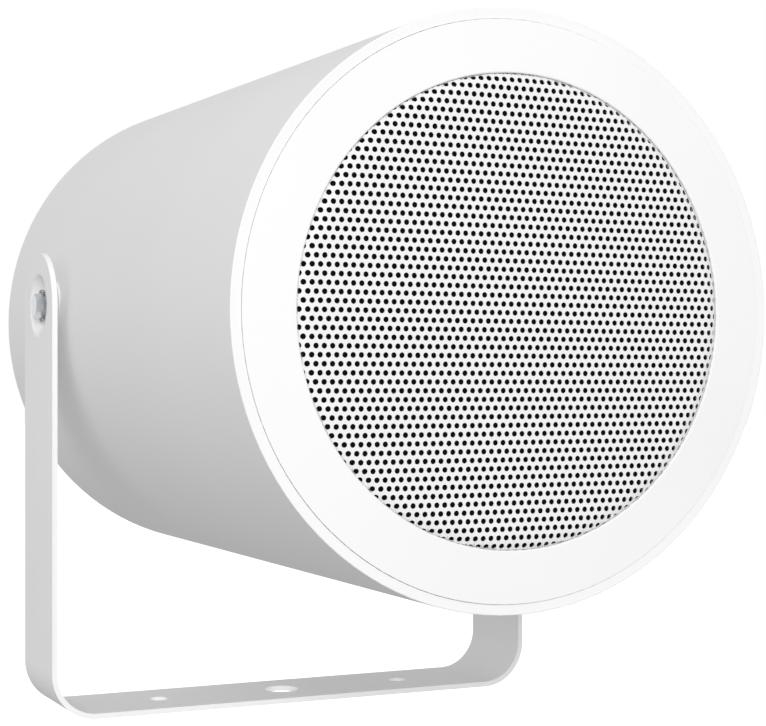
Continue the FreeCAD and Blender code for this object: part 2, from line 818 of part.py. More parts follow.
def rear_cover():
    """Disc set into the tube's end, with seats for transformer and terminal block and the gland's hole."""
    disc = seat(rod(2 * (bore_radius - cover_gap), cover_thickness), at(0, cover_depth, 0), Y)
    boss = rod(strap_boss_diameter, strap_boss_height)
    bosses = [seat(boss, at(x, strap_foot_depth, core_rise), Y) for x in strap_screw_places()]
    pad = block(block_width, block_height, block_pad_depth, cover_depth, 0, block_rise)
    screw_hole = rod(cover_screw_diameter + 2 * screw_hole_clearance, cover_thickness)
    screw_hole = seat(screw_hole, at(cover_boss_circle, cover_depth, 0), Y)
    strap_pilot = rod(strap_screw_diameter + 2 * thread_gap, body_length - cover_skin - strap_foot_depth)
    pilots = [seat(strap_pilot, at(x, strap_foot_depth, core_rise), Y) for x in strap_screw_places()]
    block_pilot = rod(block_screw_diameter + 2 * thread_gap, body_length - cover_skin - block_pad_depth)
    pilots.append(seat(block_pilot, at(0, block_pad_depth, block_rise), Y))
    gland_hole = rod(gland_thread_diameter + 2 * gland_fit, cover_thickness)
    gland_hole = seat(gland_hole, at(0, cover_depth, gland_rise), Y)
    cover = disc.fuse(bosses + [pad])
    return cover.cut(spun(screw_hole, screw_angles) + pilots + [gland_hole]).removeSplitter()


def rear_seal():
    """Flat rubber ring between the tube's ledge and the rear cover."""
    inner = bore_radius - rear_ledge_height
    ring = collar(2 * (bore_radius - rear_seal_gap), 2 * inner, rear_seal_thickness)
    return seat(ring, at(0, rear_ledge_depth, 0), Y)


def rear_cover_screws():
    """Screws that hold the rear cover to the tube's bosses."""
    length = cover_thickness + cover_screw_bite
    screw = pan_screw(cover_screw_head, cover_screw_head_height, cover_screw_diameter, length)
    return Part.makeCompound(spun(seat(screw, at(cover_boss_circle, body_length, 0), -Y), screw_angles))


def gland_washer():
    """Rubber washer under the gland's hexagon."""
    washer = collar(gland_flats, gland_thread_diameter + 2 * gland_fit, gland_washer_thickness)
    return seat(washer, at(0, body_length, gland_rise), Y)


def gland_body():
    """Gland body: hexagon, inner threaded spigot and outer threaded neck, bored for the cable."""
    spigot = cover_thickness + gland_washer_thickness + gland_spigot_length
    length = spigot + gland_hex_length + gland_neck_length
    stem = rod(gland_thread_diameter, length).translated(Z * -spigot)
    bore = rod(gland_bore_diameter, length).translated(Z * -spigot)
    body = stem.fuse(hex_bar(gland_flats, gland_hex_length)).cut(bore)
    return seat(body, at(0, gland_hex_depth, gland_rise), Y)


def gland_locknut():
    """Nut inside the rear cover."""
    nut = hex_bar(gland_flats, gland_locknut_length)
    nut = nut.cut(rod(gland_thread_diameter + 2 * gland_fit, gland_locknut_length))
    return seat(nut, at(0, cover_depth, gland_rise), -Y)


def gland_seal():
    """Rubber insert in the gland's neck, closed by a skin until a cable is pushed through."""
    plug = rod(gland_bore_diameter - 2 * gland_fit, gland_seal_length)
    start = gland_neck_depth + gland_neck_length - gland_seal_length
    return seat(plug, at(0, start, gland_rise), Y)


def gland_nut():
    """Domed clamping nut with a hexagon foot and a round mouth."""
    reach = gland_flats / 2
    thread = gland_thread_diameter / 2 + gland_fit
    mouth = gland_mouth_diameter / 2
    shoulder = lathe([
        (mouth, gland_neck_length, 0),
        (thread, gland_neck_length, 0),
        (thread, 0, 0),
        (reach, 0, 0),
        (reach, gland_nut_length, gland_dome_round),
        (mouth, gland_nut_length, 0),
    ])
    foot = hex_bar(gland_flats, gland_nut_hex_length).cut(rod(2 * thread, gland_nut_hex_length))
    return seat(shoulder.fuse(foot).removeSplitter(), at(0, gland_neck_depth, gland_rise), Y)


def bracket():
    """Strip folded into a U, with round arm ends, pressed pivot dimples and base holes."""
    outer_round = bend_radius + strip_thickness
    top = pivot_height + strip_width / 2
    front = -strip_width / 2
    face = rounded_face([
        (-arm_outer, top, 0),
        (-arm_outer, 0, outer_round),
        (arm_outer, 0, outer_round),
        (arm_outer, top, 0),
        (arm_inner, top, 0),
        (arm_inner, strip_thickness, bend_radius),
        (-arm_inner, strip_thickness, bend_radius),
        (-arm_inner, top, 0),
    ], lambda x, z: FreeCAD.Vector(x, front, z))
    strip = face.extrude(Y * strip_width)
    pivot = FreeCAD.Vector(-arm_outer, 0, pivot_height)
    arm_end = Part.makeCylinder(strip_width / 2, 2 * arm_outer, pivot, X)
    below = Part.makeBox(2 * arm_outer, strip_width, pivot_height, FreeCAD.Vector(-arm_outer, front, 0))
    strip = strip.common(arm_end.fuse(below))
    holes = [hole_in_base(centre_hole_diameter, 0)]
    for x in (-side_hole_spacing / 2, side_hole_spacing / 2):
        holes.append(hole_in_base(side_hole_diameter, x))
    patch = dimple_patch_diameter()
    holes += on_both_sides(rod(patch, strip_thickness), arm_inner)
    dimples = on_both_sides(pressed_dimple(), arm_outer)
    return strip.cut(holes).fuse(dimples).removeSplitter()


def hole_in_base(diameter, x):
    """Drill for a hole through the bracket's base."""
    return rod(diameter, strip_thickness).translated(X * x)


def dimple_patch_diameter():
    """Diameter of the round patch of arm that the pressed dimple takes up."""
    return dimple_diameter + 2 * strip_thickness


def pressed_dimple():
    """Round patch of an arm, dished towards the body, with the pivot's hole in its floor."""
    patch = dimple_patch_diameter() / 2
    rim = dimple_diameter / 2
    floor = dimple_floor_diameter / 2
    hole = pivot_hole_diameter / 2
    slope = math.atan2(dimple_depth, rim - floor)
    shift = strip_thickness * math.tan(slope / 2)
    under = -strip_thickness
    return lathe([
        (patch, 0, 0),
        (rim, 0, dimple_round),
        (floor, -dimple_depth, dimple_round),
        (hole, -dimple_depth, 0),
        (hole, under - dimple_depth, 0),
        (floor + shift, under - dimple_depth, dimple_round),
        (rim + shift, under, dimple_round),
        (patch, under, 0),
    ])


def friction_washers():
    """Nylon washers between the tube's pivot bosses and the dimples' floors."""
    washer = collar(friction_washer_diameter, pivot_hole_diameter, friction_washer_thickness)
    return Part.makeCompound(on_both_sides(washer, body_radius))


def plain_washers():
    """Plain washers on the dimples' floors."""
    washer = collar(plain_washer_diameter, pivot_hole_diameter, plain_washer_thickness)
    return Part.makeCompound(on_both_sides(washer, dimple_floor))


def lock_washers():
    """Toothed washers under the bolt heads."""
    washer = collar(lock_washer_diameter, pivot_hole_diameter, lock_washer_thickness)
    tooth_pitch = 360 / lock_washer_teeth
    notch_width = math.pi * lock_washer_diameter / lock_washer_teeth / 2
    notch_inner = lock_washer_diameter / 2 - lock_washer_tooth_depth
    corner = FreeCAD.Vector(notch_inner, -notch_width / 2, 0)
    notch = Part.makeBox(lock_washer_tooth_depth + notch_width, notch_width, lock_washer_thickness, corner)
    notches = [notch.rotated(FreeCAD.Vector(), Z, tooth_pitch * i) for i in range(lock_washer_teeth)]
    return Part.makeCompound(on_both_sides(washer.cut(notches), dimple_floor + plain_washer_thickness))


def pivot_bolts():
    """Hex bolts through the bracket's arms into the tube's inserts."""
    head_base = dimple_floor + washer_stack
    shank = head_base - body_radius + pivot_bolt_bite
    corner_radius = pivot_bolt_flats / math.sqrt(3)
    bolt = hex_bar(pivot_bolt_flats, pivot_bolt_head_height, first_corner=0)
    bolt = bolt.common(lathe([
        (0, 0, 0),
        (corner_radius, 0, 0),
        (corner_radius, pivot_bolt_head_height - pivot_bolt_chamfer, 0),
        (pivot_bolt_flats / 2, pivot_bolt_head_height, 0),
        (0, pivot_bolt_head_height, 0),
    ]))
    bolt = bolt.fuse(rod(pivot_diameter, shank).translated(Z * -shank)).removeSplitter()
    return Part.makeCompound(on_both_sides(bolt, head_base))


def pivot_inserts():
    """Brass inserts in the tube's pivot bosses, threaded for the bolts."""
    insert = collar(insert_diameter, pivot_diameter + 2 * thread_gap, insert_length)
    return Part.makeCompound(on_both_sides(insert, body_radius - insert_length))


pieces = [
    bracket,
    housing_tube,
    front_ring,
    grille,
    grille_cloth,
    driver_gasket,
    driver_basket,
    driver_screws,
    surround,
    cone,
    dust_cap,
    voice_coil,
    spider,
    top_plate,
    magnet,
    pole_yoke,
    tag_board,
    solder_tags,
    driver_leads,
    transformer_core,
    transformer_coil,
    transformer_strap,
    transformer_screws,
    terminal_block,
    terminal_clamps,
    clamp_screws,
    block_screw,
    rear_cover,
    rear_seal,
    rear_cover_screws,
    gland_washer,
    gland_body,
    gland_locknut,
    gland_seal,
    gland_nut,
    friction_washers,
    plain_washers,
    lock_washers,
    pivot_bolts,
    pivot_inserts,
]

os.makedirs("parts", exist_ok=True)
for piece in pieces:
    solid = piece()
    solid.exportStep(f"parts/{piece.__name__}.step")
    print(piece.__name__, len(solid.Solids), "solid(s)", round(solid.Volume), "mm3", solid.isValid())
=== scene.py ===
# %% [markdown]
# # Dressing a projection speaker
#
# The object is a white drum with a loudspeaker inside. A dished grille closes its front, and a
# strip of folded steel carries it at two bolts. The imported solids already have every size, so
# this lesson only adds what solids can't: fine holes, cloth, finishes, a camera and light.
# It starts by loading those solids as a fixed frame and by noting the box that they fill.

import json
import math

import bpy
import numpy as np
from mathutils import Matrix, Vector
from mathutils.geometry import delaunay_2d_cdt


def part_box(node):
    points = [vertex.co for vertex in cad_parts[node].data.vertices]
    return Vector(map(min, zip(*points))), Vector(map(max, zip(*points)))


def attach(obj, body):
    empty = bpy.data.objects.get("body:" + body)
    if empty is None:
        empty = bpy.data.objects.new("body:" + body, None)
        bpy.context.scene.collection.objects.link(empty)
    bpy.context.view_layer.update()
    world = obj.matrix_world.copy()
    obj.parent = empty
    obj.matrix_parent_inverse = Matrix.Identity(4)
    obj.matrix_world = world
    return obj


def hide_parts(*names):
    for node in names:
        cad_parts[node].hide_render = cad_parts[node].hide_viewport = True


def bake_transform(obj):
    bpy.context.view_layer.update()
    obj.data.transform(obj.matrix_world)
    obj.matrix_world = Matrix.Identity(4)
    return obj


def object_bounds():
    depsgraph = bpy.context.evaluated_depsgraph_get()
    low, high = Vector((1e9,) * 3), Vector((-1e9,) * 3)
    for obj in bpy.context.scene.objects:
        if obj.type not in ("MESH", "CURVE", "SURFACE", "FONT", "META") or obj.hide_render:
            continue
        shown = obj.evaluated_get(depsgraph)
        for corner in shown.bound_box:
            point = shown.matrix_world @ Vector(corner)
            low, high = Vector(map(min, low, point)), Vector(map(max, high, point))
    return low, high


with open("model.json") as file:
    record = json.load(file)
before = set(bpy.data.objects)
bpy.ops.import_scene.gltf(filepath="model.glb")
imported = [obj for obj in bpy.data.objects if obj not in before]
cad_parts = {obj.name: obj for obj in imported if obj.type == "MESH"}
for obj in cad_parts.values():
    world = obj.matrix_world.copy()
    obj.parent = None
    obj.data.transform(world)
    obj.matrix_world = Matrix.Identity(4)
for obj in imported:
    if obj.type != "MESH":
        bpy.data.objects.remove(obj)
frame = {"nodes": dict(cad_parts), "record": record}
solid_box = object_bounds()
nodes = frame["nodes"]
scene = bpy.context.scene
mm = 0.001
sides_of_box = [round(side / mm, 1) for side in solid_box[1] - solid_box[0]]
print(f"{len(nodes)} solids in a box of {sides_of_box} mm")

# %% [markdown]
# ## The camera
#
# A photographer stood in front of the drum and a little to its left, with a long lens held level
# at the height of the drum's axis. A camera could be aimed with a Track To constraint, but a
# level camera keeps upright lines upright, so a plain turn about the vertical says it better.

# %% Camera
camera_place = (-0.21135, -0.52388, 0.10095)
level = math.radians(90)
turned_aside = math.radians(-25.0586)
lens = bpy.data.cameras.new("level_camera")
lens.sensor_width = 36
lens.lens = 88.39
lens.shift_y = -0.0076
camera = bpy.data.objects.new("level_camera", lens)
camera.location = camera_place
camera.rotation_euler = (level, 0, turned_aside)
scene.collection.objects.link(camera)
scene.camera = camera
print(f"camera {camera.location.length:.3f} m from the bracket's centre hole")

# %% [markdown]
# ## Sums on sockets
#
# Finishes and light are graphs of small nodes. Wiring each one by hand hides the idea, so one
# class wraps an output socket and lets Python's own operators add the Math nodes: `1 - mask`
# becomes one subtract node. Each operator has a reflected form, for a plain number on its left.

# %% A socket that does sums
class Wire:
    """A node's output, on which plus, minus and times add Math nodes."""

    def __init__(self, graph, socket):
        self.graph = graph
        self.socket = socket

    def sum(self, operation, first, second):
        return self.graph.node("Math", {"operation": operation}, {0: first, 1: second})

    def __add__(self, other):
        return self.sum("ADD", self, other)

    def __radd__(self, other):
        return self.sum("ADD", other, self)

    def __sub__(self, other):
        return self.sum("SUBTRACT", self, other)

    def __rsub__(self, other):
        return self.sum("SUBTRACT", other, self)

    def __mul__(self, other):
        return self.sum("MULTIPLY", self, other)

    def __rmul__(self, other):
        return self.sum("MULTIPLY", other, self)


print("Wire does + - * from either side")

# %% [markdown]
# Every other node comes from one method. It takes the node's type, then its settings, then its
# sockets, in that order, because some settings decide which sockets a node has. A colour ramp's
# stops are a setting too.

# %% A graph and its one node method
class Graph:
    """A tree of shader nodes, all made by one method."""

    def __init__(self, tree):
        self.tree = tree

    def node(self, kind, settings, sockets, output=0):
        made = self.tree.nodes.new("ShaderNode" + kind)
        for setting, value in settings.items():
            if setting == "stops":
                self.set_stops(made.color_ramp, value)
            else:
                setattr(made, setting, value)
        for socket, value in sockets.items():
            self.feed(made.inputs[socket], value)
        return Wire(self, made.outputs[output])

    def set_stops(self, ramp, stops):
        for place, colour in stops[1:-1]:
            ramp.elements.new(place)
        for element, (place, colour) in zip(ramp.elements, stops):
            element.position = place
            element.color = (*colour, 1)

    def feed(self, socket, value):
        if isinstance(value, Wire):
            self.tree.links.new(value.socket, socket)
        else:
            socket.default_value = value


print("Graph makes nodes of any type")

# %% [markdown]
# ## The studio
#
# The speaker is shown in a white tent, lit from all round. Many lamps could do that, but one world
# shader is softer. It is brighter overhead than below, so the drum darkens towards its underside.
# The camera itself sees plain white paper. The Standard view transform keeps white as white, which
# a filmic one would turn grey. A Mix node has a set of sockets for each type of data, so the ones
# for colours are named here once, by their numbers.

# %% World light
scene.view_settings.view_transform = "Standard"
scene.world = bpy.data.worlds.new("white_tent")
scene.world.use_nodes = True
tent = Graph(scene.world.node_tree)
looking = tent.node("TexCoord", {}, {}, "Generated")
upwards = tent.node("SeparateXYZ", {}, {0: looking}, "Z")
tent_level = 0.575
tent_rise = 0.18
glow = tent_level + tent_rise * upwards
seen = tent.node("LightPath", {}, {}, "Is Camera Ray")
mix_factor, mix_first, mix_second, mixed = 0, 6, 7, 2
white = (1, 1, 1, 1)
choice = {mix_factor: seen, mix_first: glow, mix_second: white}
paper = tent.node("Mix", {"data_type": "RGBA"}, choice, mixed)
tent.feed(tent.tree.nodes["Background"].inputs["Color"], paper)
print(f"world with {len(tent.tree.nodes)} nodes")

# %% [markdown]
# A tall softbox lifts the ring and the grille above the drum's side. It stands beside the camera,
# in the same direction, so the shadows that it throws are hidden behind what throws them. Satin
# plastic mirrors at a glancing angle, and a view along the drum from behind would show this lamp
# as a burnt streak, so it is left out of the glossy rays. A small softbox behind the drum, on its
# left, gives the flat faces of the bolt heads something bright to mirror. A quaternion points a
# lamp's -Z axis at the drum and its long side upwards. Light this soft wraps round thin strips, so
# the bracket is left out of the shadow rays and hardly shades the drum.

# %% Softboxes
aim = Vector((0, -0.05, 0.11))
softboxes = {
    "tall_softbox": ((-0.625, -1.597, 0.434), 0.4, 1.0, 19.0),
    "small_softbox": ((-0.53, 1.74, 0.17), 0.5, 0.5, 0.30),
}
for name, (place, width, height, watts) in softboxes.items():
    softbox = bpy.data.lights.new(name, "AREA")
    softbox.shape = "RECTANGLE"
    softbox.size = width
    softbox.size_y = height
    softbox.energy = watts
    lamp = bpy.data.objects.new(name, softbox)
    lamp.location = place
    lamp.rotation_mode = "QUATERNION"
    lamp.rotation_quaternion = (aim - lamp.location).to_track_quat("-Z", "Y")
    scene.collection.objects.link(lamp)
    print(f"{name} {(aim - lamp.location).length:.2f} m from the drum")
bpy.data.objects["tall_softbox"].visible_glossy = False
nodes["bracket"].visible_shadow = False

# %% [markdown]
# ## What a finish is
#
# A finish is a material whose shader has constants and a graph. A number that is the same all
# over goes straight onto the shader's own socket. What changes over the surface is worked out in
# the graph from the place on the object, in metres, so grain has its real size.

# %% A finish
class Finish(Graph):
    """A procedural material: constants on its shader, and a graph for what varies."""

    def __init__(self, name, **constants):
        self.material = bpy.data.materials.new(name)
        self.material.use_nodes = True
        super().__init__(self.material.node_tree)
        self.shader = self.tree.nodes["Principled BSDF"]
        for socket, value in constants.items():
            self.shader.inputs[socket.replace("_", " ")].default_value = value
        self.place = self.node("TexCoord", {}, {}, "Object")

    def wear(self, socket, value):
        self.feed(self.shader.inputs[socket], value)


finishes = {}
print("Finish makes materials")

# %% [markdown]
# Three kinds of node come up in nearly every finish: noise of a stated grain size, a colour mix
# and a bump. Naming them once keeps the finishes below short. The noise scale is one over the
# grain's length.

# %% Helpers for grain, colour and bump
def grain(finish, size, detail=2.0):
    sockets = {"Vector": finish.place, "Scale": 1 / size, "Detail": detail}
    return finish.node("TexNoise", {}, sockets)


def blend_colours(finish, factor, first, second):
    colours = {mix_factor: factor, mix_first: (*first, 1), mix_second: (*second, 1)}
    return finish.node("Mix", {"data_type": "RGBA"}, colours, mixed)


def emboss(finish, relief, depth, strength=1.0):
    sockets = {"Height": relief, "Distance": depth, "Strength": strength}
    finish.wear("Normal", finish.node("Bump", {}, sockets))


print("grain, blend_colours and emboss are ready")

# %% [markdown]
# ## White moulded shell
#
# The tube, the front ring and the rear cover are satin white plastic. Close up, the mould leaves
# a fine spark-eroded grain, and the gloss wanders a little over a hand's width. A noise of a
# quarter of a millimetre gives the grain, and a broad one the drift of tone and gloss.

# %% Moulded shell
shell = Finish("white_moulded_shell", IOR=1.5)
spark = grain(shell, 0.25 * mm, detail=3)
drift = grain(shell, 60 * mm)
shell.wear("Base Color", blend_colours(shell, drift, (0.79, 0.79, 0.795), (0.83, 0.83, 0.83)))
shell.wear("Roughness", 0.40 + 0.12 * spark + 0.08 * drift)
emboss(shell, spark, 0.02 * mm, strength=0.35)
finishes["white_shell"] = shell
print(f"shell finish with {len(shell.tree.nodes)} nodes")

# %% [markdown]
# ## White powder coat
#
# The bracket and the grille are steel under baked powder. Powder melts into a skin with a soft
# orange peel about a millimetre across, a little glossier than the moulded shell. It shuns the
# edges of punched holes, so the grille has less of it and is a shade greyer. One function makes
# both, because they differ only in tone. The torn back of each hole is near black: in part the bare
# steel's scale, in part painted shade that keeps the holes dark.

# %% Powder coat
def powder_coat(name, dull, bright):
    """White powder baked on steel, between two tones."""
    coat = Finish(name, IOR=1.5)
    peel = grain(coat, 1.1 * mm, detail=1)
    fines = grain(coat, 0.2 * mm)
    cloud = grain(coat, 35 * mm)
    coat.wear("Base Color", blend_colours(coat, cloud, dull, bright))
    coat.wear("Roughness", 0.36 + 0.16 * peel + 0.06 * cloud)
    emboss(coat, 0.85 * peel + 0.15 * fines, 0.05 * mm, strength=0.4)
    print(f"{name} with {len(coat.tree.nodes)} nodes")
    return coat


thick_coat = powder_coat("white_powder_coat", (0.83, 0.83, 0.835), (0.87, 0.87, 0.87))
thin_coat = powder_coat("thin_powder_coat", (0.745, 0.745, 0.75), (0.775, 0.775, 0.775))
finishes["white_steel"] = thick_coat
# Near-black scale for the torn hole walls: partly bare steel, partly painted shade.
scale_and_painted_shade = Finish("steel_scale_and_painted_shade", Specular_IOR_Level=0.2)
flake = grain(scale_and_painted_shade, 0.1 * mm, detail=3)
flaky_scale_and_shade = blend_colours(scale_and_painted_shade, flake, (0.008, 0.008, 0.009), (0.030, 0.029, 0.028))
scale_and_painted_shade.wear("Base Color", flaky_scale_and_shade)
scale_and_painted_shade.wear("Roughness", 0.60 + 0.25 * flake)

# %% [markdown]
# ## Zinc-plated steel
#
# Bolts, washers and screws are plated with zinc and passivated, which leaves a blue cast with faint
# straw patches. The plating is metal, so its colour tints the reflections. A ramp with three stops
# holds the cast, the plain grey and the straw. The toothed washers under the bolt heads are duller
# than the bolts, and darker in painted shade, for the dim things that their teeth mirror.

# %% Zinc plating
def zinc_plating(name, depth_of_tone, dullness):
    """Passivated zinc on steel, its tone scaled from bright to dark."""
    zinc = Finish(name, Metallic=1.0)
    patch = grain(zinc, 2.5 * mm, detail=3)
    scuff = grain(zinc, 0.3 * mm, detail=4)
    blue_cast, plain_grey, straw = (0.76, 0.83, 0.87), (0.84, 0.87, 0.89), (0.90, 0.89, 0.85)
    tones = {0.3: blue_cast, 0.5: plain_grey, 0.75: straw}
    stops = [(place, [depth_of_tone * part for part in tone]) for place, tone in tones.items()]
    zinc.wear("Base Color", zinc.node("ValToRGB", {"stops": stops}, {0: patch}))
    zinc.wear("Roughness", dullness + 0.20 * scuff)
    emboss(zinc, scuff, 0.01 * mm, strength=0.4)
    print(f"{name} with {len(zinc.tree.nodes)} nodes")
    return zinc


finishes["zinc_steel"] = zinc_plating("zinc_plated_steel", depth_of_tone=1.0, dullness=0.20)
# The washers' darker tone is painted shade, for the dim things their teeth mirror.
zinc_with_painted_shade = zinc_plating("zinc_plating_with_painted_shade", depth_of_tone=0.70, dullness=0.45)

# %% [markdown]
# ## Black acoustic cloth
#
# Behind the holes lies a thin black cloth that lets sound through. A plain weave is two sets of
# threads that take turns on top. The product of two sines has the same checker of hills, and at
# three threads to the millimetre nobody can tell it from modelled yarn.

# %% Acoustic cloth
def weave(finish, pitch):
    """Hills of a plain weave with threads a pitch apart, from 0 to 1."""
    sines = []
    for axis in ("X", "Z"):
        along = finish.node("SeparateXYZ", {}, {0: finish.place}, axis) * (math.pi / pitch)
        sines.append(finish.node("Math", {"operation": "SINE"}, {0: along}))
    return 0.5 + 0.5 * sines[0] * sines[1]


cloth = Finish("black_acoustic_cloth", Specular_IOR_Level=0.1)
threads = weave(cloth, 0.33 * mm)
lint = grain(cloth, 0.15 * mm, detail=3)
blacks = blend_colours(cloth, threads, (0.002, 0.002, 0.002), (0.008, 0.008, 0.008))
cloth.wear("Base Color", blacks)
cloth.wear("Roughness", 0.80 + 0.15 * lint)
emboss(cloth, threads + 0.3 * lint, 0.10 * mm)
finishes["black_cloth"] = cloth
print(f"cloth finish with {len(cloth.tree.nodes)} nodes")

# %% [markdown]
# ## Finishes inside the drum and at its back
#
# The rest of the speaker is hidden until someone opens it. Each material there has its own two
# tones, dullness and grain size in millimetres, and they differ only in those, so one loop over a
# table of finishes makes them.

# %% Small finishes
small = {
    "spider_cloth": ("varnished_spider_cloth", 0, (0.3, 0.17, 0.06), (0.42, 0.26, 0.11), 0.65, 0.4),
    "cone_paper": ("pulp_cone_paper", 0, (0.030, 0.030, 0.032), (0.060, 0.058, 0.055), 0.80, 0.5),
    "ferrite": ("fired_ferrite", 0, (0.045, 0.045, 0.048), (0.085, 0.083, 0.080), 0.55, 0.6),
    "copper": ("enamelled_copper_wire", 1, (0.55, 0.20, 0.09), (0.72, 0.33, 0.16), 0.25, 0.3),
    "brass": ("turned_brass", 1, (0.62, 0.45, 0.17), (0.76, 0.60, 0.28), 0.28, 0.2),
    "grey_plastic": ("grey_nylon", 0, (0.30, 0.31, 0.32), (0.36, 0.37, 0.38), 0.45, 0.25),
    # Nylon greyed below its own off-white: painted shade for the washers in the dim gap by the
    # arms.
    "nylon": ("nylon_with_painted_shade", 0, (0.52, 0.515, 0.49), (0.60, 0.595, 0.57), 0.45, 0.3),
    "tag_card": ("resin_card", 0, (0.22, 0.11, 0.04), (0.30, 0.16, 0.07), 0.60, 0.3),
    "ceramic": ("glazed_ceramic", 0, (0.74, 0.72, 0.66), (0.82, 0.80, 0.75), 0.18, 0.8),
    "black_rubber": ("black_rubber", 0, (0.018, 0.018, 0.019), (0.038, 0.037, 0.036), 0.70, 0.35),
}
for slot, (name, metal, dark, light, dullness, size) in small.items():
    finish = Finish(name, Metallic=metal)
    broad = grain(finish, 12 * size * mm)
    fine = grain(finish, size * mm, detail=4)
    finish.wear("Base Color", blend_colours(finish, 0.6 * fine + 0.4 * broad, dark, light))
    finish.wear("Roughness", dullness + 0.20 * fine - 0.06)
    emboss(finish, fine, 0.05 * size * mm, strength=0.5)
    finishes[slot] = finish
print(f"{len(small)} small finishes")

# %% [markdown]
# The record of the part names a slot for every solid, so the finishes find their own solids. Only
# the toothed washers ask for their own zinc, darkened with painted shade.

# %% Dress the solids
own_finish = {"lock_washers": zinc_with_painted_shade}
for part in frame["record"]["subparts"]:
    finish = own_finish.get(part["node"], finishes[part["material_slot"]])
    for slot in nodes[part["node"]].material_slots:
        slot.material = finish.material

# %% [markdown]
# ## Where the drum is
#
# The new pieces are all turned about the drum's axis, so they are drawn as a radius and a depth
# behind the tube's front edge, in millimetres. Both are read from the frame, not typed again.

# %% Axis and depths
tube_low, tube_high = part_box("housing_tube")
axis_height = (tube_low.z + tube_high.z) / 2
front_edge = tube_low.y


def reach_of(node):
    """Radius of a solid turned about the drum's axis, and its first and last depth, in mm."""
    low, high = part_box(node)
    return (high.x - low.x) / 2 / mm, (low.y - front_edge) / mm, (high.y - front_edge) / mm


def in_frame(across, up, depth):
    """Points of the frame, in metres, from offsets off the axis and depths in mm."""
    return np.column_stack([across * mm, depth * mm + front_edge, up * mm + axis_height])


print(f"axis {axis_height / mm:.1f} mm up, front edge at {front_edge / mm:.1f} mm")

# %% [markdown]
# Round things keep asking for the same few sums: evenly spread angles, the direction of an angle,
# the neighbours round a closed loop, and the faces between two rings of points. A ring may also be
# one point, said over and over, and then its faces are triangles.

# %% Helpers for round things
def round_angles(count):
    """Angles that are evenly spread over a full turn."""
    return np.linspace(0, 2 * math.pi, count, endpoint=False)


def towards(angle):
    """Direction of an angle, one unit long."""
    return np.array([math.cos(angle), math.sin(angle)])


def pairs_round(loop):
    """Each item of a closed loop with the one after it."""
    return list(zip(loop, loop[1:] + loop[:1]))


def strip(here, further):
    """Faces between two rings of points."""
    faces = []
    for (a, b), (c, d) in zip(pairs_round(here), pairs_round(further)):
        face = list(dict.fromkeys([a, c, d, b]))
        if len(face) > 2:
            faces.append(face)
    return faces


print(f"two rings of four points make {len(strip([0, 1, 2, 3], [4, 5, 6, 7]))} faces")

# %% [markdown]
# ## The grille's dish
#
# The grille is one thin sheet, perforated first and pressed afterwards, so its rows of holes run
# on over the rounded edge. The solid has only coarse holes. A dense pattern could be cut with
# booleans, but pressing it as the factory does is quicker and neater: draw the flat pattern, then
# bend it. Bending needs the dish's section as a path that can be walked by length.

# %% Section of the dish
brim_radius, front_depth, seat_depth = reach_of("grille")
sheet_thickness = 0.5
wall_radius = 54.87
slope_width = 1.8
slope_angle = math.radians(25)
roll_radius = 6.0
rim_radius = 0.45
brim_bend = 0.15
brim_depth = seat_depth - sheet_thickness
rim_turn = math.pi / 2 - slope_angle
roll_cut = roll_radius * math.tan(slope_angle / 2)
rim_cut = rim_radius * math.tan(rim_turn / 2)
flat_radius = wall_radius - slope_width - roll_cut
slope_length = slope_width / math.cos(slope_angle) - roll_cut - rim_cut
corner_depth = front_depth + slope_width * math.tan(slope_angle)
wall_length = brim_depth - brim_bend - corner_depth - rim_cut
bend_length = brim_bend * math.pi / 2
section = [
    (flat_radius, 0),
    (roll_radius * slope_angle, slope_angle),
    (slope_length, 0),
    (rim_radius * rim_turn, rim_turn),
    (wall_length, 0),
    (bend_length, -math.pi / 2),
]
wall_end = sum(length for length, turn in section[:-1])
print(f"flat to {flat_radius:.2f} mm, and the wall ends {wall_end:.2f} mm along the section")

# %% [markdown]
# Walking the section takes one straight or one arc at a time. The heading is the angle between
# the sheet and the grille's flat face, and the inner skin lies a sheet's thickness to its side.

# %% Walk along the section
def walk(distance, inset):
    """Radius and depth after a walk along the outer skin, moved inwards by an inset, in mm."""
    radius = np.zeros_like(distance)
    depth = np.full_like(distance, front_depth)
    heading = np.zeros_like(distance)
    left = distance.copy()
    for length, turn in section + [(np.inf, 0)]:
        step = np.minimum(left, length)
        angle = step * turn / length
        half = angle / 2
        chord = step * np.sinc(half / math.pi)
        radius += chord * np.cos(heading + half)
        depth += chord * np.sin(heading + half)
        heading += angle
        left -= step
    return radius - inset * np.sin(heading), depth + inset * np.cos(heading)


edge_radius, edge_depth = walk(np.array([wall_end]), 0)
print(f"the wall ends at radius {edge_radius[0]:.2f} mm, depth {edge_depth[0]:.2f} mm")

# %% [markdown]
# ## The flat pattern of holes
#
# The holes stand in rows about two millimetres apart, and every other row is shifted by half a
# pitch. So the plane divides into square cells with one hole each. A corner of one row's cell is
# the middle of an edge in the next row, so each cell gets six points round it and all cells
# share their points. That keeps the sheet whole, with no gaps and no T joints.

# %% Cells of the pattern
hole_pitch = 1.983
row_tilt = math.radians(-0.35)
pattern_start = np.array([-1.0, -0.28])
plain_edge = 0.6
spare_rows = 2
cell_limit = wall_end - plain_edge
last_row = int(cell_limit / hole_pitch) + spare_rows
cosine, sine = towards(row_tilt)
row_turn = np.array([[cosine, sine], [-sine, cosine]])
corner_steps = [(-1, 0), (0, 0), (1, 0), (1, 1), (0, 1), (-1, 1)]


def on_sheet(column, row):
    """Place on the flat sheet of a point of the half-pitch grid, in mm."""
    return pattern_start + np.array([column * hole_pitch / 2, (row - 0.5) * hole_pitch]) @ row_turn


def corners_of(column, row):
    """The six points of the half-pitch grid round a cell."""
    return [(column + i, row + j) for i, j in corner_steps]


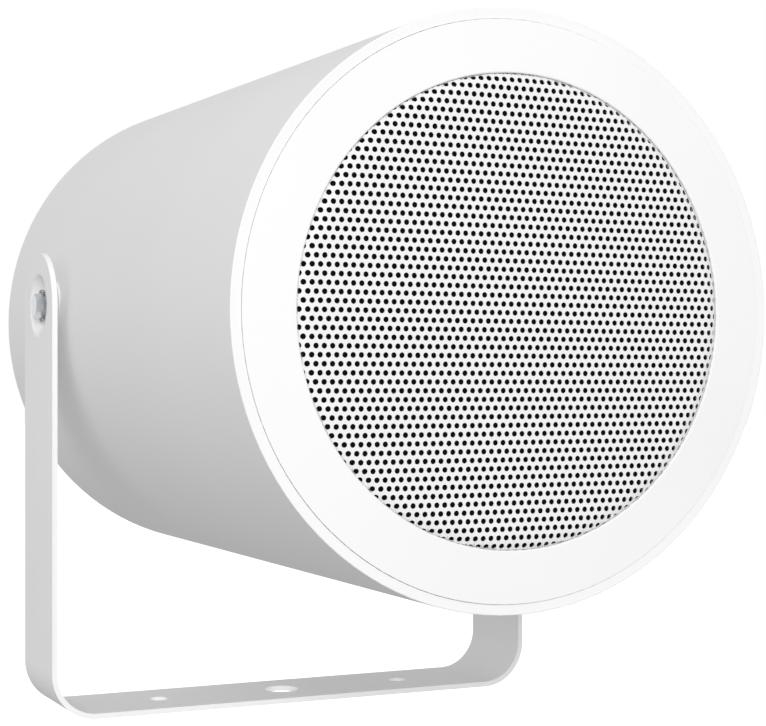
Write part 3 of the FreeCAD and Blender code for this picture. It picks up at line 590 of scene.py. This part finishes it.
cells = []
for row in range(-last_row, last_row + 1):
    for column in range(-2 * last_row + row % 2, 2 * last_row + 1, 2):
        corners = [on_sheet(*corner) for corner in corners_of(column, row)]
        if max(np.hypot(*corner) for corner in corners) < cell_limit:
            cells.append((column, row))
print(f"{len(cells)} cells with a hole each")

# %% [markdown]
# One cell is a six-point outline with a ten-sided hole in it. Zipping the two loops together
# in order of angle gives its triangles, and every other cell is the same, so this is done once.

# %% Triangles of one cell
hole_sides = 10
outline_angles = [math.atan2((j - 0.5) * 2, i) for i, j in corner_steps]
hole_angles = [2 * math.pi * k / hole_sides - math.pi for k in range(hole_sides)]


def zip_loops(outer, inner):
    """Triangles between two loops of rising angles, as pairs of (loop, place)."""
    steps = [(angle, 0, i) for i, angle in enumerate(outer)]
    steps += [(angle, 1, i) for i, angle in enumerate(inner)]
    steps.sort()
    last = [len(outer) - 1, len(inner) - 1]
    triangles = []
    for angle, loop, i in steps:
        triangles.append([(0, last[0]), (loop, i), (1, last[1])])
        last[loop] = i
    return triangles


cell_triangles = zip_loops(outline_angles, hole_angles)
print(f"{len(cell_triangles)} triangles on each face of a cell")

# %% [markdown]
# Now the whole flat sheet, drawn twice: its front and its back. A punch shears the front of the
# sheet and tears the rest of it away, so a hole is wider at the back. The back therefore has the
# same points, apart from those round the holes.

# %% Points and faces of the flat sheet
punch_radius = 0.67
break_radius = 0.85
grid = {}
front_points = []
back_points = []
flat_faces = []
holes = []


def point(place, spread=0):
    """A point on both faces of the sheet, moved by spread on the back."""
    front_points.append(place)
    back_points.append(place + spread)
    return len(front_points) - 1


for column, row in cells:
    outline = []
    for corner in corners_of(column, row):
        if corner not in grid:
            grid[corner] = point(on_sheet(*corner))
        outline.append(grid[corner])
    centre = on_sheet(column, row + 0.5)
    hole = []
    for angle in hole_angles:
        ray = towards(angle)
        hole.append(point(centre + punch_radius * ray, (break_radius - punch_radius) * ray))
    holes.append(hole)
    loops = (outline, hole)
    flat_faces += [[loops[loop][i] for loop, i in triangle] for triangle in cell_triangles]
print(f"{len(front_points)} points, {len(flat_faces)} triangles on each face")

# %% [markdown]
# The cells end in a stepped edge, and the sheet goes on to a true circle at the end of its wall.
# An outline's edge that only one cell has is part of the steps. Delaunay triangulation fills the
# space between well, because it never makes slivers where a better triangle exists. It fills the
# cells as well, so a triangle whose middle lies in a cell is left out.

# %% Fill from the stepped edge to the wall's end
circle_sides = 288
whole_hull = 0
weld_distance = 1e-6


def fill_flat(places, fences):
    """Triangles over the hull of flat points, with the fences among their edges."""
    corners = [Vector(place) for place in places]
    return delaunay_2d_cdt(corners, fences, [], whole_hull, weld_distance)[2]


cell_edges = {}
for column, row in cells:
    outline = [grid[corner] for corner in corners_of(column, row)]
    for edge in pairs_round(outline):
        cell_edges.setdefault(frozenset(edge), []).append(edge)
stepped_edge = [edges[0] for edges in cell_edges.values() if len(edges) == 1]
rays = [towards(angle) for angle in round_angles(circle_sides)]
circle = [point(wall_end * ray) for ray in rays]
used = sorted({i for edge in stepped_edge for i in edge}) + circle
local = {i: k for k, i in enumerate(used)}
fences = [(local[a], local[b]) for a, b in stepped_edge + pairs_round(circle)]
inside = set(cells)
added = 0
for triangle in fill_flat([front_points[i] for i in used], fences):
    middle = sum(front_points[used[k]] for k in triangle) / 3
    across, up = (middle - pattern_start) @ row_turn.T / hole_pitch
    row = math.floor(up + 0.5)
    column = 2 * math.floor(across + 0.5 - row % 2 / 2) + row % 2
    if (column, row) not in inside:
        flat_faces.append([used[k] for k in triangle])
        added += 1
print(f"{added} triangles between the steps and the circle")

# %% [markdown]
# Beyond the wall the sheet turns outwards into the brim that the ring clamps. It has no holes
# that anyone can see, so plain rings of points are enough.

# %% Rings of the brim
bend_steps = 3
bend_ends = [wall_end + bend_length * k / bend_steps for k in range(1, bend_steps + 1)]
brim_end = wall_end + bend_length + brim_radius - edge_radius[0] - brim_bend
outer_loop = circle
for distance in bend_ends + [brim_end]:
    ring = [point(distance * ray) for ray in rays]
    flat_faces += strip(outer_loop, ring)
    outer_loop = ring
print(f"{len(flat_faces)} faces on each side of the flat sheet")

# %% [markdown]
# ## Pressing the sheet
#
# Pressing keeps each point's direction from the middle and walks its distance along the section.
# The front of the flat sheet becomes the outer skin, and its back lies one thickness behind. The
# brim's edge and the holes join the two. The sheared part of a hole is a short straight wall,
# which the coat covers and which shows as a light sliver in every hole that is seen from one side.

# %% Press the sheet into a dish
tiny = 1e-9


def press(points, inset):
    """Points of the flat sheet bent onto the dish's section, in metres."""
    flat = np.array(points)
    distance = np.hypot(flat[:, 0], flat[:, 1])
    radius, depth = walk(distance, inset)
    stretch = radius / np.maximum(distance, tiny)
    return in_frame(flat[:, 0] * stretch, flat[:, 1] * stretch, depth)


sheared_depth = 0.18
punched = [i for hole in holes for i in hole]
sheared = press([front_points[i] for i in punched], sheared_depth)
skins = np.vstack([press(front_points, 0), press(back_points, sheet_thickness), sheared])
behind = len(front_points)
wall_foot = {i: 2 * behind + k for k, i in enumerate(punched)}
faces = flat_faces + [[i + behind for i in reversed(face)] for face in flat_faces]
faces += [[a, b, b + behind, a + behind] for a, b in pairs_round(outer_loop)]
around = [edge for hole in holes for edge in pairs_round(hole)]
faces += [[b, a, wall_foot[a], wall_foot[b]] for a, b in around]
coated = len(faces)
faces += [[wall_foot[b], wall_foot[a], a + behind, b + behind] for a, b in around]
print(f"{len(skins)} points and {len(faces)} faces in the dish, {len(faces) - coated} of them torn")

# %% [markdown]
# The mesh is shaded smooth, with sharp edges wherever two faces meet at more than 40 degrees, so
# the dish is round and the punched edges stay crisp. The piece stands for the coarse solid. The
# torn part of each hole gets the near-black scale as a second material, partly painted shade.

# %% Grille piece
crisp_angle = math.radians(40)


def add_piece(name, points, faces, slot, stands_for, finish=None):
    """A mesh that stands for a solid, in its slot's finish or one of its own."""
    mesh = bpy.data.meshes.new(name)
    mesh.from_pydata([tuple(p) for p in points], [], faces)
    mesh.update()
    mesh.shade_smooth()
    mesh.set_sharp_from_angle(angle=crisp_angle)
    mesh.materials.append((finish or finishes[slot]).material)
    piece = bpy.data.objects.new(name, mesh)
    scene.collection.objects.link(piece)
    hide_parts(stands_for)
    triangles = sum(len(face) - 2 for face in faces)
    print(f"{name}: {len(points)} points, {triangles} triangles")
    return piece


grille = add_piece("perforated_grille", skins, faces, "white_steel", "grille", thin_coat)
# The torn walls get the near-black scale, which is partly painted shade in the holes.
grille.data.materials.append(scale_and_painted_shade.material)
torn = np.arange(len(faces)) >= coated
grille.data.polygons.foreach_set("material_index", torn.astype(np.int32))
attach(grille, "speaker")

# %% [markdown]
# ## The cloth behind the grille
#
# The cloth is stretched over the back of the grille and glued along its sloping edge. A sheet that
# is round needs only its section: a loop of points, turned about an axis. One function does that
# for every cloth of the speaker, and where the loop touches the axis a ring is a single point.

# %% Turn a loop about an axis
cloth_sides = 120


def turned(loop, sides=cloth_sides, closed=True):
    """Points (across, up, depth) and faces of a loop of (radius, depth) turned about an axis."""
    spokes = round_angles(sides)
    points, rows, faces = [], [], []
    for radius, depth in loop:
        angles = spokes if radius > 0 else spokes[:1]
        rows.append([len(points) + k % len(angles) for k in range(sides)])
        points += [(radius * math.cos(a), radius * math.sin(a), depth) for a in angles]
    for here, further in zip(rows, rows[1:] + rows[:1] * closed):
        faces += strip(here, further)
    return np.array(points), faces


print(f"turned cloths have {cloth_sides} sides")

# %% [markdown]
# The cloth follows the same section as the grille, a hair behind its back. It has real thickness,
# so its loop runs out along the front and home along the back.

# %% Cloth piece
cloth_gap = 0.05
cloth_thickness = 0.3
flat_stops = 14
edge_stops = 9
cloth_reach = flat_radius + roll_radius * slope_angle + slope_length
over_flat = np.linspace(0, flat_radius, flat_stops)
over_edge = np.linspace(flat_radius, cloth_reach, edge_stops)
cloth_stops = np.append(over_flat, over_edge[1:])
cloth_front = sheet_thickness + cloth_gap
front_skin = list(zip(*walk(cloth_stops, cloth_front)))
back_skin = list(zip(*walk(cloth_stops, cloth_front + cloth_thickness)))
points, faces = turned(front_skin + back_skin[::-1])
screen = add_piece("grille_cloth_sheet", in_frame(*points.T), faces, "black_cloth", "grille_cloth")
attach(screen, "speaker")
cut = 2 * cloth_reach * mm
math.pi / 4 * cut * cut
print(f"cloth cut to a disc {cut / mm:.1f} mm across")

# %% [markdown]
# ## Sheets that flex
#
# Two cloths let the cone move: the surround at its edge and the spider at its neck. Each is held
# by the driver's frame outside and follows the cone inside. Here the points are only laid out by
# radius for a moment, and then put back.

# %% Flex along the radius
def flex(piece, points):
    """Lay a turned sheet's points out by radius, bake its transform, and put the points back."""
    radius = np.hypot(points[:, 0], points[:, 2] - axis_height)
    laid_out = np.column_stack([radius, 0 * radius, 0 * radius])
    piece.data.vertices.foreach_set("co", laid_out.ravel())
    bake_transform(piece)
    piece.data.vertices.foreach_set("co", points.ravel())
    piece.data.update()


print("flex is ready")

# %% [markdown]
# ## The surround
#
# The surround is a half-round roll of doped black cloth, with a flat lip on either side. It could
# be a bent tube, but a section of two lips and an arc also gives the lips that the glue holds.

# %% Surround piece
surround_edge, roll_crown, lip_back = reach_of("surround")
flex_thickness = 0.5
lip_width = 2.5
lip_front = lip_back - flex_thickness
roll_inside = reach_of("cone")[0]
roll_outside = surround_edge - lip_width
roll_middle = (roll_inside + roll_outside) / 2
roll_reach = (roll_outside - roll_inside) / 2
roll_stops = 25
bend = np.linspace(0, math.pi, roll_stops)


def rolled(radius):
    """Half a circle from the cone's side to the frame's, in front of the lips."""
    return list(zip(roll_middle - radius * np.cos(bend), lip_front - radius * np.sin(bend)))


lip_inside = roll_inside - lip_width
foot_inside = (roll_inside + flex_thickness, lip_back)
foot_outside = (roll_outside - flex_thickness, lip_back)
outer_roll = rolled(roll_reach)
inner_roll = [foot_inside, *rolled(roll_reach - flex_thickness), foot_outside]
front_skin = [(lip_inside, lip_front), *outer_roll, (surround_edge, lip_front)]
back_skin = [(lip_inside, lip_back), *inner_roll, (surround_edge, lip_back)]
points, faces = turned(front_skin + back_skin[::-1])
points = in_frame(*points.T)
surround = add_piece("surround_roll", points, faces, "black_cloth", "surround")
flex(surround, points)
cut = 2 * surround_edge * mm
print(f"roll crown {roll_crown:.1f} mm deep, lips {lip_back:.1f} mm deep")

# %% [markdown]
# ## The spider
#
# The spider is varnished cloth, pressed into round waves that let it stretch. The solid has
# straight zigzags. A cosine along the radius gives soft waves of the same count, and they fade out
# at the neck and at the ledge, where the cloth lies flat in its glue.

# %% Spider piece
spider_edge, wave_front, wave_back = reach_of("spider")
neck_radius = 12.85
ledge_radius = 27.0
half_waves = 7
wave_stops = 85
wave_height = (wave_back - wave_front - flex_thickness) / 2
ledge_front = wave_front + wave_height
reaches = np.append(np.linspace(neck_radius, ledge_radius, wave_stops), spider_edge)
phase = (reaches - neck_radius) / (ledge_radius - neck_radius) * half_waves
fade = np.clip(np.minimum(phase, half_waves - phase), 0, 1)
waves = ledge_front + wave_height * fade * np.cos(math.pi * phase)
front_skin = list(zip(reaches, waves))
back_skin = list(zip(reaches, waves + flex_thickness))
points, faces = turned(front_skin + back_skin[::-1])
points = in_frame(*points.T)
spider = add_piece("spider_waves", points, faces, "spider_cloth", "spider")
flex(spider, points)
cut = 2 * spider_edge * mm
print(f"spider waves {2 * wave_height:.1f} mm high")

# %% [markdown]
# ## The rear cover's screws
#
# Four cross-headed screws hold the rear cover. The solids have plain heads. A boolean could sink
# the cross, but the top of a head is flat, so the space between its outline and the cross can be
# filled with Delaunay triangles, as at the grille's edge. Below the head, a zigzag section stands
# for the thread.

# %% Section of a screw
head_radius = 3.3
head_height = 2.2
head_round = 1.1
shank_radius = 1.75
thread_core = 1.4
thread_pitch = 1.2
shank_length = 15.0
tip_radius = 0.8
tip_length = 1.0
screw_sides = 28
round_stops = 7
half_turns = int(shank_length / thread_pitch) * 2
screw_section = [(0, -shank_length), (tip_radius, -shank_length)]
for k, height in enumerate(np.linspace(tip_length - shank_length, 0, half_turns)):
    screw_section.append((thread_core if k % 2 else shank_radius, height))
screw_section.append((head_radius, 0))
for angle in np.linspace(0, math.pi / 2, round_stops):
    out = head_radius - head_round + head_round * math.cos(angle)
    height = head_height - head_round + head_round * math.sin(angle)
    screw_section.append((out, height))
print(f"{len(screw_section)} points from tip to head")

# %% [markdown]
# The cross tapers as the driver's tip does, so its floor is a smaller cross.

# %% One cross-headed screw
def cross(reach, width, height):
    """Corners of a level cross, anticlockwise from its right arm."""
    half = width / 2
    arm = [(reach, -half), (reach, half), (half, half)]
    quarter_turns = [(1, 0), (0, 1), (-1, 0), (0, -1)]
    return [(c * x - s * y, s * x + c * y, height) for c, s in quarter_turns for x, y in arm]


cross_depth = 1.4
cross_reach = 1.9
cross_width = 1.05
sunk_reach = 1.1
sunk_width = 0.65
mouth_corners = cross(cross_reach, cross_width, head_height)
sunk_corners = cross(sunk_reach, sunk_width, head_height - cross_depth)
screw_points, screw_faces = turned(screw_section, screw_sides, closed=False)
first = len(screw_points)
top_ring = list(range(first - screw_sides, first))
mouth = list(range(first, first + len(mouth_corners)))
sunk = [i + len(mouth) for i in mouth]
screw_points = np.vstack([screw_points, mouth_corners, sunk_corners])
flat_top = top_ring + mouth
fences = pairs_round(list(range(screw_sides, len(flat_top))))
for triangle in fill_flat([screw_points[i][:2] for i in flat_top], fences):
    x, y = np.abs(screw_points[[flat_top[k] for k in triangle]].mean(axis=0)[:2])
    if max(x, y) > cross_reach or min(x, y) > cross_width / 2:
        screw_faces.append([flat_top[k] for k in reversed(triangle)])
screw_faces += strip(mouth, sunk) + [sunk[::-1]]
print(f"{len(screw_points)} points and {len(screw_faces)} faces in a screw")

# %% [markdown]
# Each screw stopped turning where its thread ran tight, so the four crosses point different ways.

# %% Screws piece
screw_circle = 59.5
cover_face = reach_of("rear_cover")[2]
stopped_at = {45: 12, 135: 71, 225: 34, 315: 56}
across, up, out = screw_points.T
points, faces = [], []
for place, turned_by in stopped_at.items():
    cosine, sine = towards(math.radians(turned_by))
    centre_x, centre_y = screw_circle * towards(math.radians(place))
    x = across * cosine - up * sine + centre_x
    y = across * sine + up * cosine + centre_y
    faces += [[i + len(points) for i in face] for face in screw_faces]
    points += list(in_frame(x, y, out + cover_face))
screws = add_piece("cross_headed_screws", points, faces, "zinc_steel", "rear_cover_screws")
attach(screws, "speaker")

# %% [markdown]
# ## The floor
#
# Such a speaker is screwed to a wall or a post, and at the ends of its tilt the drum dips below
# the bracket's base. So the floor, a large disc of pale paper, lies deeper than the drum reaches,
# and the speaker is shown free above it. The paper's faint glow lifts it to the white that the
# camera sees behind the speaker. It throws no light back up: the tent's dark lower half already
# says how little the paper returns.

# %% Floor
floor_radius = 4.0
floor_drop = 60 * mm
floor_sides = 120
floor_rim = [floor_radius * towards(angle) for angle in round_angles(floor_sides)]
floor_mesh = bpy.data.meshes.new("paper_floor")
floor_mesh.from_pydata([(x, y, -floor_drop) for x, y in floor_rim], [], [list(range(floor_sides))])
floor = bpy.data.objects.new("paper_floor", floor_mesh)
scene.collection.objects.link(floor)
paper_sheet = Finish("pale_paper", Roughness=0.9, Specular_IOR_Level=0.1, Emission_Strength=0.7)
fibre = grain(paper_sheet, 3 * mm, detail=3)
pale_tones = blend_colours(paper_sheet, fibre, (0.92, 0.92, 0.92), (0.95, 0.95, 0.95))
paper_sheet.wear("Base Color", pale_tones)
paper_sheet.wear("Emission Color", white)
floor_mesh.materials.append(paper_sheet.material)
floor.visible_diffuse = False
floor.visible_glossy = False
floor.visible_shadow = False
print(f"floor {2 * floor_radius} m across")
